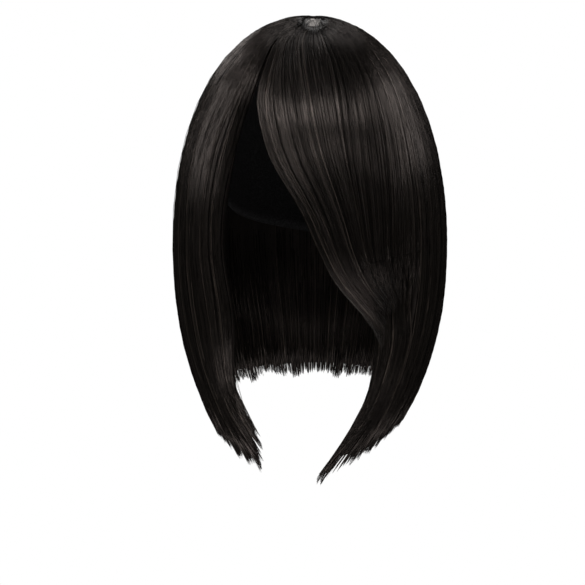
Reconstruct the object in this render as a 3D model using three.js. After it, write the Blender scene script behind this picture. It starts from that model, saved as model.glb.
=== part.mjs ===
// A straight A-line bob wig: a stretch cap, a skin top at the parting, and six sections of hair.
// Sizes are in millimetres and angles in degrees. +Z is up, the wearer looks along -Y, and the
// wearer's left is +X. The origin is the inside of the cap at the crown, where the wig sits.
// A depth is measured down from the origin. A bearing is measured round the vertical axis from
// straight ahead, positive towards the wearer's left.
import * as THREE from "three";

// The head size that the cap fits
const HEAD_BREADTH = 154;
const HEAD_FRONT_REACH = 88;
const HEAD_BACK_REACH = 102;
const HEAD_GIRTH_DEPTH = 98;
const NECK_TAPER_LENGTH = 100;

// The cap and the skin top
const CAP_WALL = 1.2;
const SKIN_TOP_WALL = 1.2;
const SKIN_TOP_WIDTH = 10;
const SKIN_TOP_LENGTH = 50;
const SKIN_TOP_FRONT = 38;
const SKIN_TOP_OFFSET = 3.5;
const GAP = 0.3;
// Faces are flat between the rows of a mesh, so what lies over a round form is drawn this much
// further out
const FACET_ALLOWANCE = 0.9;
const ROOT_CLEARANCE = 0.8;

// The outline of the combed hair
const CROWN_LOFT = 6;
const BOB_WIDTH = 200;
const BOB_FRONT_REACH = 105;
const BOB_BACK_REACH = 112;
const BOB_WIDEST_DEPTH = 161;
const BACK_WIDEST_DEPTH = 110;
const OUTLINE_FOOT_DEPTH = 333;

// Cut lengths, measured as depths
const LEFT_POINT_DEPTH = 328;
const RIGHT_POINT_DEPTH = 317;
const NAPE_DEPTH = 257;
const FRINGE_DEPTH = 228;
const POINT_NOTCH = 11;
const HEM_NOTCH = 9;
const TIP_VARIATION = 5;

// Thickness of the hanging hair
const ROOT_THICKNESS = 2.6;
const ROOT_RISE_LENGTH = 26;
const CURTAIN_THICKNESS = 10;
const FRINGE_THICKNESS = 4.6;
const TIP_THICKNESS = 2;
const LOCK_RIDGE = 2.2;
const FACE_EDGE_TUCK = 8;
const FRINGE_EDGE_TUCK = 2;
const EDGE_ROUNDING = 13;
const EDGE_THINNING = 0.55;
const LOCK_UNEVENNESS = 0.16;
const TIP_GATHER = 0.75;
const RELEASE_LENGTH = 30;
const FRINGE_CLEARANCE = 2;
const UNDER_FRINGE_SETTLE = 30;

// Depths of the levels that the guide tables name
const LEVEL_DEPTH = { crown: 17, hairline: 53, brow: 95, cheek: 155, mouth: 187, jaw: 215, collar: 268 };

// Number of rows down a section, on the dome and below it
const DOME_ROWS = 9;
const FALL_ROWS = 8;

const radians = THREE.MathUtils.degToRad;
const smoothstep = THREE.MathUtils.smoothstep;
const lerp = THREE.MathUtils.lerp;

// A form is a rounded body that is known by how far it reaches to each side, ahead and behind.
// Above its widest level each reach closes over the crown, and below it tucks in over a span.
const headSide = { reach: HEAD_BREADTH / 2, widest: HEAD_GIRTH_DEPTH, fullness: 2, tuck: 0.26, tuckPower: 2 };
const bobSide = { reach: BOB_WIDTH / 2, widest: BOB_WIDEST_DEPTH, fullness: 2.15, tuckPower: 2.26 };
const headForm = {
  top: 0,
  left: headSide,
  right: headSide,
  front: { reach: HEAD_FRONT_REACH, widest: HEAD_GIRTH_DEPTH, fullness: 2, tuck: 0.1, tuckPower: 2 },
  back: { reach: HEAD_BACK_REACH, widest: HEAD_GIRTH_DEPTH, fullness: 2, tuck: 0.52, tuckPower: 2 },
  foot: HEAD_GIRTH_DEPTH + NECK_TAPER_LENGTH,
};
const bobForm = {
  top: -CROWN_LOFT,
  left: { ...bobSide, tuck: 0.62 },
  right: { ...bobSide, tuck: 0.54 },
  front: { reach: BOB_FRONT_REACH, widest: BOB_WIDEST_DEPTH, fullness: 2.15, tuck: 0.2, tuckPower: 2 },
  back: { reach: BOB_BACK_REACH, widest: BACK_WIDEST_DEPTH, fullness: 2.15, tuck: 0.78, tuckPower: 2.05 },
  foot: OUTLINE_FOOT_DEPTH,
};

// The same form, grown outwards by a distance
function grown(form, by) {
  const wider = (profile) => ({ ...profile, reach: profile.reach + by });
  return {
    top: form.top - by,
    left: wider(form.left),
    right: wider(form.right),
    front: wider(form.front),
    back: wider(form.back),
    foot: form.foot,
  };
}

const capForm = grown(headForm, CAP_WALL);
const seatForm = grown(capForm, GAP + FACET_ALLOWANCE);
const skinSeatForm = grown(capForm, GAP);
const skinForm = grown(skinSeatForm, SKIN_TOP_WALL);

function halfReach(form, profile, depth) {
  if (depth <= profile.widest) {
    const rise = Math.min((profile.widest - depth) / (profile.widest - form.top), 1);
    return profile.reach * (1 - rise ** profile.fullness) ** (1 / profile.fullness);
  }
  const fall = Math.min((depth - profile.widest) / (form.foot - profile.widest), 1);
  return profile.reach * (1 - profile.tuck * fall ** profile.tuckPower);
}

// Distance from the vertical axis to the form, along a bearing at a depth
function reachAt(form, bearing, depth) {
  const across = Math.sin(radians(bearing));
  const ahead = Math.cos(radians(bearing));
  const side = halfReach(form, across > 0 ? form.left : form.right, depth);
  const end = halfReach(form, ahead > 0 ? form.front : form.back, depth);
  return 1 / Math.hypot(across / side, ahead / end);
}

function pointAt(bearing, reach, depth) {
  return new THREE.Vector3(
    reach * Math.sin(radians(bearing)),
    -reach * Math.cos(radians(bearing)),
    -depth,
  );
}

// The value between low and high where a rising function reaches zero
function rootOf(rising, low, high) {
  let [below, above] = [low, high];
  for (let step = 0; step < 40; step += 1) {
    const middle = (below + above) / 2;
    if (rising(middle) < 0) below = middle;
    else above = middle;
  }
  return (below + above) / 2;
}

// Depth at which the form's crown is that far from the axis
function depthAtReach(form, bearing, reach) {
  return rootOf((depth) => reachAt(form, bearing, depth) - reach, form.top, form.left.widest);
}

// What hair at a point hangs round: the middle of the head on the dome, and the axis below it
function middleFor(point) {
  return new THREE.Vector3(0, 0, Math.min(-HEAD_GIRTH_DEPTH, point.z));
}

// The point of a form straight under an outer point, on the way to that middle
function pointInside(form, outer) {
  const centre = middleFor(outer);
  const bearing = THREE.MathUtils.radToDeg(Math.atan2(outer.x, -outer.y));
  const share = rootOf((part) => {
    const point = centre.clone().lerp(outer, part);
    return Math.hypot(point.x, point.y) - reachAt(form, bearing, -point.z);
  }, 0, 1);
  return centre.lerp(outer, share);
}

// A smooth curve through points, with no overshoot between them
function curveThrough(places, values) {
  const slopes = places.slice(1).map((p, i) => (values[i + 1] - values[i]) / (p - places[i]));
  const tangents = values.map((_, i) => {
    if (i === 0) return slopes[0];
    if (i === values.length - 1) return slopes[i - 1];
    const [before, after] = [slopes[i - 1], slopes[i]];
    return before * after <= 0 ? 0 : (2 * before * after) / (before + after);
  });
  return (place) => {
    const held = THREE.MathUtils.clamp(place, places[0], places[places.length - 1]);
    let i = 0;
    while (i < places.length - 2 && held > places[i + 1]) i += 1;
    const width = places[i + 1] - places[i];
    const t = (held - places[i]) / width;
    const [start, end] = [values[i], values[i + 1]];
    const bend = t * (1 - t) * width;
    return lerp(start, end, t * t * (3 - 2 * t)) + bend * ((1 - t) * tangents[i] - t * tangents[i + 1]);
  };
}

// Distance combed down the head from the crown to a depth, on the middle line of the outline
const DOME_HEIGHT = BOB_WIDEST_DEPTH + CROWN_LOFT;
const DOME_TRAVEL = (Math.PI / 2) * (BOB_WIDTH / 2);
const DOME_FULLNESS = bobSide.fullness;
function travelTo(depth) {
  if (depth >= BOB_WIDEST_DEPTH) return DOME_TRAVEL + depth - BOB_WIDEST_DEPTH;
  const angle = Math.acos(((BOB_WIDEST_DEPTH - depth) / DOME_HEIGHT) ** (DOME_FULLNESS / 2));
  return (angle * BOB_WIDTH) / 2;
}
function depthAfter(travel) {
  if (travel >= DOME_TRAVEL) return BOB_WIDEST_DEPTH + travel - DOME_TRAVEL;
  return BOB_WIDEST_DEPTH - DOME_HEIGHT * Math.cos((2 * travel) / BOB_WIDTH) ** (2 / DOME_FULLNESS);
}

// The ends of the skin top's middle line, as distances ahead of the axis
const PARTING_FRONT = SKIN_TOP_FRONT - SKIN_TOP_WIDTH / 2;
const PARTING_BACK = PARTING_FRONT - (SKIN_TOP_LENGTH - SKIN_TOP_WIDTH);

// Where a lock is rooted beside the skin top, by its direction from the middle of the skin top
function rootOfLock(direction, near) {
  const across = Math.sin(radians(direction));
  const ahead = Math.cos(radians(direction));
  const middle = (PARTING_FRONT + PARTING_BACK) / 2;
  const out = rootOf((distance) => {
    const y = middle + distance * ahead;
    const held = THREE.MathUtils.clamp(y, PARTING_BACK, PARTING_FRONT);
    return Math.hypot(distance * across, y - held) - SKIN_TOP_WIDTH / 2 - ROOT_CLEARANCE;
  }, 0, SKIN_TOP_LENGTH);
  const x = SKIN_TOP_OFFSET + out * across;
  const y = middle + out * ahead;
  const bearing = THREE.MathUtils.radToDeg(Math.atan2(x, y));
  const turns = Math.round((near - bearing) / 360);
  return { bearing: bearing + 360 * turns, reach: Math.hypot(x, y) };
}

// Guide tables, from the wearer's right to the left. Each row is one guide lock of a section.
// root is the direction of its root from the middle of the skin top. The next columns are its
// bearing at each level and at its tip. hem is its cut length: 0 at the nape's length and 1 at
// the point's, or for the fringe a share of the fringe's own depth.
const RIGHT_BACK_SEAM = {
  root: -165, crown: -125, hairline: -125, brow: -125, cheek: -125, jaw: -125, collar: -125, tip: -125, hem: 0.1,
};
const RIGHT_FRONT_SEAM = {
  root: -40, crown: -44, hairline: -51, brow: -56, cheek: -57, jaw: -54, collar: -49, tip: -35, hem: 0.9,
};
const LEFT_FRONT_SEAM = {
  root: 60, crown: 48, hairline: 52, brow: 52, cheek: 54, jaw: 53, collar: 48, tip: 34, hem: 0.72,
};
const LEFT_BACK_SEAM = {
  root: 165, crown: 125, hairline: 125, brow: 125, cheek: 125, jaw: 125, collar: 125, tip: 125, hem: 0.1,
};
const SIDE_RIGHT_GUIDES = [
  RIGHT_BACK_SEAM,
  { root: -140, crown: -90, hairline: -92, brow: -94, cheek: -95, jaw: -94, collar: -91, tip: -82, hem: 0.54 },
  { root: -90, crown: -66, hairline: -70, brow: -74, cheek: -76, jaw: -74, collar: -69, tip: -56, hem: 0.76 },
  RIGHT_FRONT_SEAM,
];
const FACE_LOCK_RIGHT_GUIDES = [
  RIGHT_FRONT_SEAM,
  { root: -24, crown: -32, hairline: -37, brow: -44, cheek: -47, jaw: -43, collar: -41, tip: -20, hem: 1 },
  { root: -13, crown: -22.6, hairline: -25, brow: -33, cheek: -38.5, jaw: -33.5, collar: -37, tip: -23, hem: 0.74 },
];
const FRINGE_GUIDES = [
  { root: -12, crown: -21.2, hairline: -22.8, brow: -15.6, cheek: 4, mouth: 12.5, tip: 35, hem: 1 },
  { root: -4, crown: -8, hairline: -3.3, brow: 2, cheek: 14.5, mouth: 22, tip: 36, hem: 0.94 },
  { root: 3, crown: 6, hairline: 9, brow: 12, cheek: 20.5, mouth: 27, tip: 37.5, hem: 0.91 },
  { root: 12, crown: 20, hairline: 24, brow: 24, cheek: 27, mouth: 31, tip: 39, hem: 0.89 },
  { root: 28, crown: 38, hairline: 42, brow: 42.5, cheek: 42, mouth: 42.5, tip: 44, hem: 0.87 },
  { ...LEFT_FRONT_SEAM, mouth: 53.5, tip: 53, hem: 0.85 },
];
const FACE_LOCK_LEFT_GUIDES = [
  { root: 60, crown: 41, hairline: 42, brow: 39, cheek: 37, jaw: 37, collar: 34, tip: 20, hem: 0.63 },
  { root: 60, crown: 43, hairline: 45, brow: 43, cheek: 42, jaw: 41.5, collar: 37, tip: 9, hem: 1 },
  { root: 60, crown: 45, hairline: 48.5, brow: 47.5, cheek: 48, jaw: 47.5, collar: 43, tip: 23, hem: 0.81 },
  LEFT_FRONT_SEAM,
];
const SIDE_LEFT_GUIDES = [
  LEFT_FRONT_SEAM,
  { root: 95, crown: 68, hairline: 73, brow: 75, cheek: 77, jaw: 75, collar: 70, tip: 57, hem: 0.59 },
  { root: 140, crown: 90, hairline: 92, brow: 94, cheek: 96, jaw: 95, collar: 92, tip: 83, hem: 0.4 },
  LEFT_BACK_SEAM,
];
const BACK_GUIDES = [
  LEFT_BACK_SEAM,
  { root: 172, crown: 152, hairline: 152, brow: 152, cheek: 152, jaw: 153, collar: 154, tip: 155, hem: 0.03 },
  { root: 180, crown: 180, hairline: 180, brow: 180, cheek: 180, jaw: 180, collar: 180, tip: 180, hem: 0 },
  { root: 188, crown: 208, hairline: 208, brow: 208, cheek: 208, jaw: 207, collar: 206, tip: 205, hem: 0.03 },
  { root: 195, crown: 235, hairline: 235, brow: 235, cheek: 235, jaw: 235, collar: 235, tip: 235, hem: 0.1 },
];
const BETWEEN_LEVELS = ["crown", "hairline", "brow", "cheek", "jaw", "collar"];
const FRINGE_LEVELS = ["crown", "hairline", "brow", "cheek", "mouth"];

// The sections of hair. point is the depth that a hem of 1 stands for, and nape that of 0.
// rests is the depth down to which the section fills the space to the cap. freeEdge is the edge
// that hangs free beside the face, and startRow is the row where a section that is covered by
// another one starts.
const SECTIONS = [
  {
    name: "fringe", guides: FRINGE_GUIDES, levels: FRINGE_LEVELS, locks: 8, nape: 0, point: FRINGE_DEPTH,
    notch: POINT_NOTCH, thickness: FRINGE_THICKNESS, rests: 46, freeEdge: 0, edgeTuck: FRINGE_EDGE_TUCK, startRow: 0,
  },
  {
    name: "face_lock_right", guides: FACE_LOCK_RIGHT_GUIDES, levels: BETWEEN_LEVELS, locks: 4,
    nape: NAPE_DEPTH, point: RIGHT_POINT_DEPTH, notch: POINT_NOTCH, thickness: CURTAIN_THICKNESS, rests: 40,
    freeEdge: 1, edgeTuck: FACE_EDGE_TUCK, startRow: 0,
  },
  {
    name: "side_right", guides: SIDE_RIGHT_GUIDES, levels: BETWEEN_LEVELS, locks: 8,
    nape: NAPE_DEPTH, point: RIGHT_POINT_DEPTH, notch: HEM_NOTCH, thickness: CURTAIN_THICKNESS, rests: 85,
    edgeTuck: 0, startRow: 0,
  },
  {
    name: "back", guides: BACK_GUIDES, levels: BETWEEN_LEVELS, locks: 12,
    nape: NAPE_DEPTH, point: RIGHT_POINT_DEPTH, notch: HEM_NOTCH, thickness: CURTAIN_THICKNESS, rests: 120,
    edgeTuck: 0, startRow: 0,
  },
  {
    name: "side_left", guides: SIDE_LEFT_GUIDES, levels: BETWEEN_LEVELS, locks: 8,
    nape: NAPE_DEPTH, point: LEFT_POINT_DEPTH, notch: HEM_NOTCH, thickness: CURTAIN_THICKNESS, rests: 85,
    edgeTuck: 0, startRow: 0,
  },
  {
    name: "face_lock_left", guides: FACE_LOCK_LEFT_GUIDES, levels: BETWEEN_LEVELS, locks: 4,
    nape: NAPE_DEPTH, point: LEFT_POINT_DEPTH, notch: POINT_NOTCH, thickness: CURTAIN_THICKNESS, rests: 88,
    freeEdge: 0, edgeTuck: FACE_EDGE_TUCK, startRow: 5, underFringe: true,
  },
];

// Depth that the fringe reaches at a bearing, down to which the lock below it stays under it
const fringeEnd = curveThrough(
  FRINGE_GUIDES.map((guide) => guide.tip),
  FRINGE_GUIDES.map((guide) => FRINGE_DEPTH * guide.hem + TIP_VARIATION),
);

// The columns of a section's mesh: three for each lock, with the locks a little uneven in width
function columnsAcross(locks) {
  const edge = (k) => (k + (k % locks === 0 ? 0 : LOCK_UNEVENNESS * Math.sin(2.4 * k))) / locks;
  const columns = [];
  for (let k = 0; k < locks; k += 1) {
    const middle = lerp(edge(k), edge(k + 1), 0.5);
    for (const part of [0, 1 / 3, 2 / 3]) {
      columns.push({ lock: k, part, across: lerp(edge(k), edge(k + 1), part), middle });
    }
  }
  columns.push({ lock: locks, part: 0, across: 1, middle: 1 });
  return columns;
}

// One column of a section: its outer and inner points from the root to the tip
function columnOf(section, column) {
  const { guides, levels } = section;
  const places = guides.map((guide) => guide.cheek);
  const [rightmost, leftmost] = [places[0], places[places.length - 1]];
  const guideValue = (key, across) =>
    curveThrough(places, guides.map((guide) => guide[key]))(lerp(rightmost, leftmost, across));
  const crest = 1 - Math.abs(2 * column.part - 1) ** 2.5;

  const cutAt = (across) => lerp(section.nape, section.point, guideValue("hem", across));
  const cut = cutAt(column.across);
  const uneven = TIP_VARIATION * Math.sin(1.9 * column.lock + 0.6);
  const tipTravel = travelTo(cut - section.notch * (1 - crest) + uneven * crest);
  const pathOf = (across) => {
    const root = rootOfLock(guideValue("root", across), guideValue("crown", across));
    const rootTravel = travelTo(depthAtReach(bobForm, root.bearing, root.reach));
    const stops = [rootTravel, ...levels.map((level) => travelTo(LEVEL_DEPTH[level])), travelTo(cutAt(across))];
    const turns = [root.bearing, ...[...levels, "tip"].map((key) => guideValue(key, across))];
    return { root, rootTravel, bearingAfter: curveThrough(stops, turns) };
  };
  const own = pathOf(column.across);
  const lockMiddle = pathOf(column.middle);

  const travels = [];
  for (let row = section.startRow; row < DOME_ROWS; row += 1) {
    travels.push(lerp(own.rootTravel, DOME_TRAVEL, row / DOME_ROWS));
  }
  for (let row = 0; row <= FALL_ROWS; row += 1) travels.push(lerp(DOME_TRAVEL, tipTravel, row / FALL_ROWS));

  const outer = [];
  const inner = [];
  travels.forEach((travel, row) => {
    const depth = depthAfter(travel);
    const gather = TIP_GATHER * crest * smoothstep(row, travels.length - 4, travels.length - 1);
    const combed = lerp(own.bearingAfter(travel), lockMiddle.bearingAfter(travel), gather);
    const reach = reachAt(bobForm, combed, depth);
    const side = column.across === 0 ? 1 : column.across === 1 ? -1 : 0;
    const bearing = combed + side * THREE.MathUtils.radToDeg(GAP / reach);

    const fromEdge = Math.abs(column.across - section.freeEdge) * radians(leftmost - rightmost) * reach;
    const nearEdge = section.edgeTuck ? 1 - smoothstep(fromEdge, 0, EDGE_ROUNDING) : 0;
    const free = smoothstep(depth, LEVEL_DEPTH.hairline, LEVEL_DEPTH.brow);
    const settled = smoothstep(depth, fringeEnd(bearing), fringeEnd(bearing) + UNDER_FRINGE_SETTLE);
    const covered = section.underFringe ? (FRINGE_THICKNESS + FRINGE_CLEARANCE) * (1 - settled) : 0;

    const surface = pointAt(bearing, reach - section.edgeTuck * nearEdge * free - covered, depth);
    const rooted = row === 0 && section.startRow === 0;
    const seat = rooted
      ? pointAt(bearing, reach, depthAtReach(seatForm, bearing, reach))
      : pointInside(seatForm, surface);
    const inwards = (rooted ? seat : middleFor(surface)).clone().sub(surface).normalize();
    const room = depth < headForm.foot ? surface.distanceTo(seat) : section.thickness;
    const rise = section.startRow > 0 ? 1 : smoothstep(travel - own.rootTravel, 0, ROOT_RISE_LENGTH);
    const onCap = lerp(ROOT_THICKNESS, room, rise);
    const release = smoothstep(depth, section.rests, section.rests + RELEASE_LENGTH);
    const fall = smoothstep(depth, LEVEL_DEPTH.jaw, cut);
    const hanging = lerp(section.thickness, TIP_THICKNESS, fall) * lerp(1, EDGE_THINNING, nearEdge);
    const thickness = Math.min(room, lerp(onCap, hanging, release));
    const groove = Math.min(LOCK_RIDGE * lerp(0.25, 1, release), 0.4 * thickness) * (1 - crest);

    const resting = depth < section.rests;
    const top = resting ? seat.clone().addScaledVector(inwards, -thickness) : surface;
    outer.push(top.clone().addScaledVector(inwards, groove));
    inner.push(resting ? seat : surface.clone().addScaledVector(inwards, thickness));
  });
  return { outer, inner };
}

function geometryFrom(points, triangles) {
  const geometry = new THREE.BufferGeometry();
  geometry.setAttribute("position", new THREE.Float32BufferAttribute(points.flatMap((p) => p.toArray()), 3));
  geometry.setIndex(triangles);
  geometry.computeVertexNormals();
  return geometry;
}

// A closed wall between an outer and an inner sheet of points, column by column
function wallGeometry(columns) {
  const rows = columns[0].outer.length;
  const points = [];
  columns.forEach(({ outer, inner }) => points.push(...outer, ...inner));
  const outerAt = (column, row) => column * rows * 2 + row;
  const innerAt = (column, row) => outerAt(column, row) + rows;
  const triangles = [];
  const quad = (a, b, c, d) => triangles.push(a, b, c, a, c, d);
  const last = columns.length - 1;
  for (let c = 0; c < last; c += 1) {
    for (let r = 0; r < rows - 1; r += 1) {
      quad(outerAt(c, r), outerAt(c, r + 1), outerAt(c + 1, r + 1), outerAt(c + 1, r));
      quad(innerAt(c, r), innerAt(c + 1, r), innerAt(c + 1, r + 1), innerAt(c, r + 1));
    }
    quad(innerAt(c, 0), outerAt(c, 0), outerAt(c + 1, 0), innerAt(c + 1, 0));
    quad(outerAt(c, rows - 1), innerAt(c, rows - 1), innerAt(c + 1, rows - 1), outerAt(c + 1, rows - 1));
  }
  for (let r = 0; r < rows - 1; r += 1) {
    quad(innerAt(0, r), innerAt(0, r + 1), outerAt(0, r + 1), outerAt(0, r));
    quad(outerAt(last, r), outerAt(last, r + 1), innerAt(last, r + 1), innerAt(last, r));
  }
  return geometryFrom(points, triangles);
}

// The cap's lower edge: along the hairline, round the ears and across the nape
const RIM = [
  { bearing: 0, depth: 49 },
  { bearing: 26, depth: 51 },
  { bearing: 48, depth: 66 },
  { bearing: 62, depth: 90 },
  { bearing: 74, depth: 116 },
  { bearing: 88, depth: 100 },
  { bearing: 108, depth: 108 },
  { bearing: 135, depth: 136 },
  { bearing: 180, depth: 150 },
];
const rimDepth = curveThrough(RIM.map((row) => row.bearing), RIM.map((row) => row.depth));
const CAP_COLUMNS = 40;
const CAP_ROWS = 9;

function capGeometry() {
  const points = [];
  const sheet = (form) => {
    points.push(new THREE.Vector3(0, 0, -form.top));
    for (let row = 1; row <= CAP_ROWS; row += 1) {
      for (let column = 0; column < CAP_COLUMNS; column += 1) {
        const bearing = -180 + (360 * column) / CAP_COLUMNS;
        const rim = rimDepth(Math.abs(bearing));
        const share = (row / CAP_ROWS) ** 1.6;
        const depth = lerp(form.top, rim, share);
        points.push(pointAt(bearing, reachAt(form, bearing, depth), depth));
      }
    }
  };
  sheet(capForm);
  sheet(headForm);
  const size = 1 + CAP_ROWS * CAP_COLUMNS;
  const at = (form, row, column) => (row === 0 ? form * size : form * size + 1 + (row - 1) * CAP_COLUMNS + (column % CAP_COLUMNS));
  const triangles = [];
  for (let c = 0; c < CAP_COLUMNS; c += 1) {
    triangles.push(at(0, 0, 0), at(0, 1, c), at(0, 1, c + 1));
    triangles.push(at(1, 0, 0), at(1, 1, c + 1), at(1, 1, c));
    for (let r = 1; r < CAP_ROWS; r += 1) {
      triangles.push(at(0, r, c), at(0, r + 1, c), at(0, r + 1, c + 1), at(0, r, c), at(0, r + 1, c + 1), at(0, r, c + 1));
      triangles.push(at(1, r, c), at(1, r, c + 1), at(1, r + 1, c + 1), at(1, r, c), at(1, r + 1, c + 1), at(1, r + 1, c));
    }
    const [a, b] = [at(0, CAP_ROWS, c), at(0, CAP_ROWS, c + 1)];
    const [d, e] = [at(1, CAP_ROWS, c), at(1, CAP_ROWS, c + 1)];
    triangles.push(a, d, e, a, e, b);
  }
  return geometryFrom(points, triangles);
}

// The skin top: a slim patch with round ends that lies on the cap along the parting
function skinTopGeometry() {
  const halfWidth = SKIN_TOP_WIDTH / 2;
  const rows = 15;
  const sheetPoint = (form, x, ahead) => {
    const reach = Math.hypot(x, ahead);
    const bearing = THREE.MathUtils.radToDeg(Math.atan2(x, ahead));
    return pointAt(bearing, reach, depthAtReach(form, bearing, reach));
  };
  const columns = [-1, -0.5, 0, 0.5, 1].map((side) => {
    const outer = [];
    const inner = [];
    for (let row = 0; row < rows; row += 1) {
      const angle = lerp(-80, 80, row / (rows - 1));
      const along = Math.sin(radians(angle)) / Math.sin(radians(80));
      const ahead = lerp(PARTING_BACK - halfWidth, PARTING_FRONT + halfWidth, (1 - along) / 2);
      const beyond = Math.max(ahead - PARTING_FRONT, PARTING_BACK - ahead, 0);
      const width = Math.sqrt(Math.max(halfWidth ** 2 - beyond ** 2, (0.3 * halfWidth) ** 2));
      const x = SKIN_TOP_OFFSET + side * width;
      outer.push(sheetPoint(skinForm, x, ahead));
      inner.push(sheetPoint(skinSeatForm, x, ahead));
    }
    return { outer: outer.reverse(), inner: inner.reverse() };
  });
  return wallGeometry(columns);
}

const hairMaterial = new THREE.MeshStandardMaterial({ color: 0x1b1817, roughness: 0.42, metalness: 0 });
const capMaterial = new THREE.MeshStandardMaterial({ color: 0x161517, roughness: 0.9, metalness: 0 });
const skinMaterial = new THREE.MeshStandardMaterial({ color: 0xc9b7a4, roughness: 0.7, metalness: 0 });

function namedMesh(name, geometry, material) {
  const mesh = new THREE.Mesh(geometry, material);
  mesh.name = name;
  return mesh;
}

const wig = new THREE.Group();
wig.add(namedMesh("cap", capGeometry(), capMaterial));
wig.add(namedMesh("skin_top", skinTopGeometry(), skinMaterial));
for (const section of SECTIONS) {
  const columns = columnsAcross(section.locks).map((column) => columnOf(section, column));
  wig.add(namedMesh(section.name, wallGeometry(columns), hairMaterial));
}

export default wig;
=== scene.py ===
# %% [markdown]
# # A straight bob wig
# The wig is a stretch cap with thousands of straight fibres combed down from a parting. The CAD
# model gives each section of hair as one body with locks on it. Here every section is dressed in
# two layers: a streaked under-hair that fills it, and fine strands that are combed over it.

import math

import bpy
import numpy as np
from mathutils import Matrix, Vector


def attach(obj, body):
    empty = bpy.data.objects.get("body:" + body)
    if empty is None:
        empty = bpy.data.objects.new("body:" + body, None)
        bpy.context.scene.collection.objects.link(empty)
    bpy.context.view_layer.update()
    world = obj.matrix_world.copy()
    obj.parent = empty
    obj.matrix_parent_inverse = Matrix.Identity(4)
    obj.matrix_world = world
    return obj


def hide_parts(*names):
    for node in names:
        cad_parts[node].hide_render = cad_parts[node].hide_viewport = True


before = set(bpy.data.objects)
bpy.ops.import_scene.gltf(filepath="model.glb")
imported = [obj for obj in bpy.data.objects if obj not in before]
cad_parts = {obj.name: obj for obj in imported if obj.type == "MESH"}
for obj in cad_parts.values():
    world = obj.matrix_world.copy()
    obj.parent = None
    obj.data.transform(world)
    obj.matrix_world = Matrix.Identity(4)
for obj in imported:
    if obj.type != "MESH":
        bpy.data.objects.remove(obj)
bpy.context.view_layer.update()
rng = np.random.default_rng(20)
MM = 0.001

# %% [markdown]
# ## The shape that the hair is combed over
# A stylist sees two forms, one inside the other: the rounded hollow of the cap, and the outline of
# the combed hair. Both close over the crown and tuck in below, so a reach to each side, ahead and
# behind is enough to know them. Subdivided meshes would do as forms, but every strand has to ask
# for points on them, and a formula answers thousands at once. Depths are measured down from the
# crown and bearings round from straight ahead, towards the wearer's left. Lengths are millimetres
# as far as the cap, and metres for the lights, the floor and the camera.

# %% Forms of the hollow and of the hair
HOLLOW_SIDE = {"reach": 77, "widest": 98, "fullness": 2, "tuck": 0.26, "power": 2}
HOLLOW = {
    "top": 0,
    "foot": 198,
    "left": HOLLOW_SIDE,
    "right": HOLLOW_SIDE,
    "front": {"reach": 88, "widest": 98, "fullness": 2, "tuck": 0.1, "power": 2},
    "back": {"reach": 102, "widest": 98, "fullness": 2, "tuck": 0.52, "power": 2},
}
BOB_SIDE = {"reach": 100, "widest": 161, "fullness": 2.15, "power": 2.26}
BOB = {
    "top": -6,
    "foot": 333,
    "left": {**BOB_SIDE, "tuck": 0.62},
    "right": {**BOB_SIDE, "tuck": 0.54},
    "front": {"reach": 105, "widest": 161, "fullness": 2.15, "tuck": 0.2, "power": 2},
    "back": {"reach": 112, "widest": 110, "fullness": 2.15, "tuck": 0.78, "power": 2.05},
}
HOLLOW_MIDDLE = 98
FREE_ROOM = 60


def grown(form, by):
    """The same form, larger all round."""
    ways = ("left", "right", "front", "back")
    wider = {way: {**form[way], "reach": form[way]["reach"] + by} for way in ways}
    return {**form, **wider, "top": form["top"] - by}


CAP_WALL, SEAT_GAP, FILM_LIFT = 1.2, 1.2, 2.3
CAP = grown(HOLLOW, CAP_WALL)
SEAT = grown(CAP, SEAT_GAP)
SKIN = grown(CAP, FILM_LIFT)
print("hair form, mm wide:", 2 * BOB_SIDE["reach"], " cap wall, mm:", CAP_WALL)

# %% How far out a form stands, and points on it


def half_reach(form, profile, depth):
    """Reach of a form on one of its four sides: closing over the crown, tucking in below."""
    above = np.clip((profile["widest"] - depth) / (profile["widest"] - form["top"]), 0, 1)
    closing = (1 - above ** profile["fullness"]) ** (1 / profile["fullness"])
    below = np.clip((depth - profile["widest"]) / (form["foot"] - profile["widest"]), 0, 1)
    tucking = 1 - profile["tuck"] * below ** profile["power"]
    return profile["reach"] * np.where(depth < profile["widest"], closing, tucking)


def reach_at(form, bearing, depth):
    """Reach at any bearing, on an oval through the side's and the end's own reach."""
    across, ahead = np.sin(np.radians(bearing)), np.cos(np.radians(bearing))
    sides = np.where(
        across > 0,
        half_reach(form, form["left"], depth),
        half_reach(form, form["right"], depth),
    )
    ends = np.where(
        ahead > 0,
        half_reach(form, form["front"], depth),
        half_reach(form, form["back"], depth),
    )
    # At the very top every reach is nothing, and so is the answer.
    with np.errstate(divide="ignore"):
        return 1 / np.sqrt((across / sides) ** 2 + (ahead / ends) ** 2)


def points_at(bearing, reach, depth):
    turn = np.radians(bearing)
    return np.stack([reach * np.sin(turn), -reach * np.cos(turn), -depth], axis=-1)


def depth_at_reach(form, bearing, reach):
    """Depth at which a form's crown is that far from the axis."""
    low = np.full(np.shape(reach), float(form["top"]))
    high = np.full(np.shape(reach), float(form["left"]["widest"]))
    for _ in range(34):
        middle = (low + high) / 2
        inside = reach_at(form, bearing, middle) < reach
        low, high = np.where(inside, middle, low), np.where(inside, high, middle)
    return (low + high) / 2


print("reach of the hair straight ahead at 95 mm down:", float(reach_at(BOB, 0, 95).round(1)))

# %% Into the hollow, and down the comb


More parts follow.
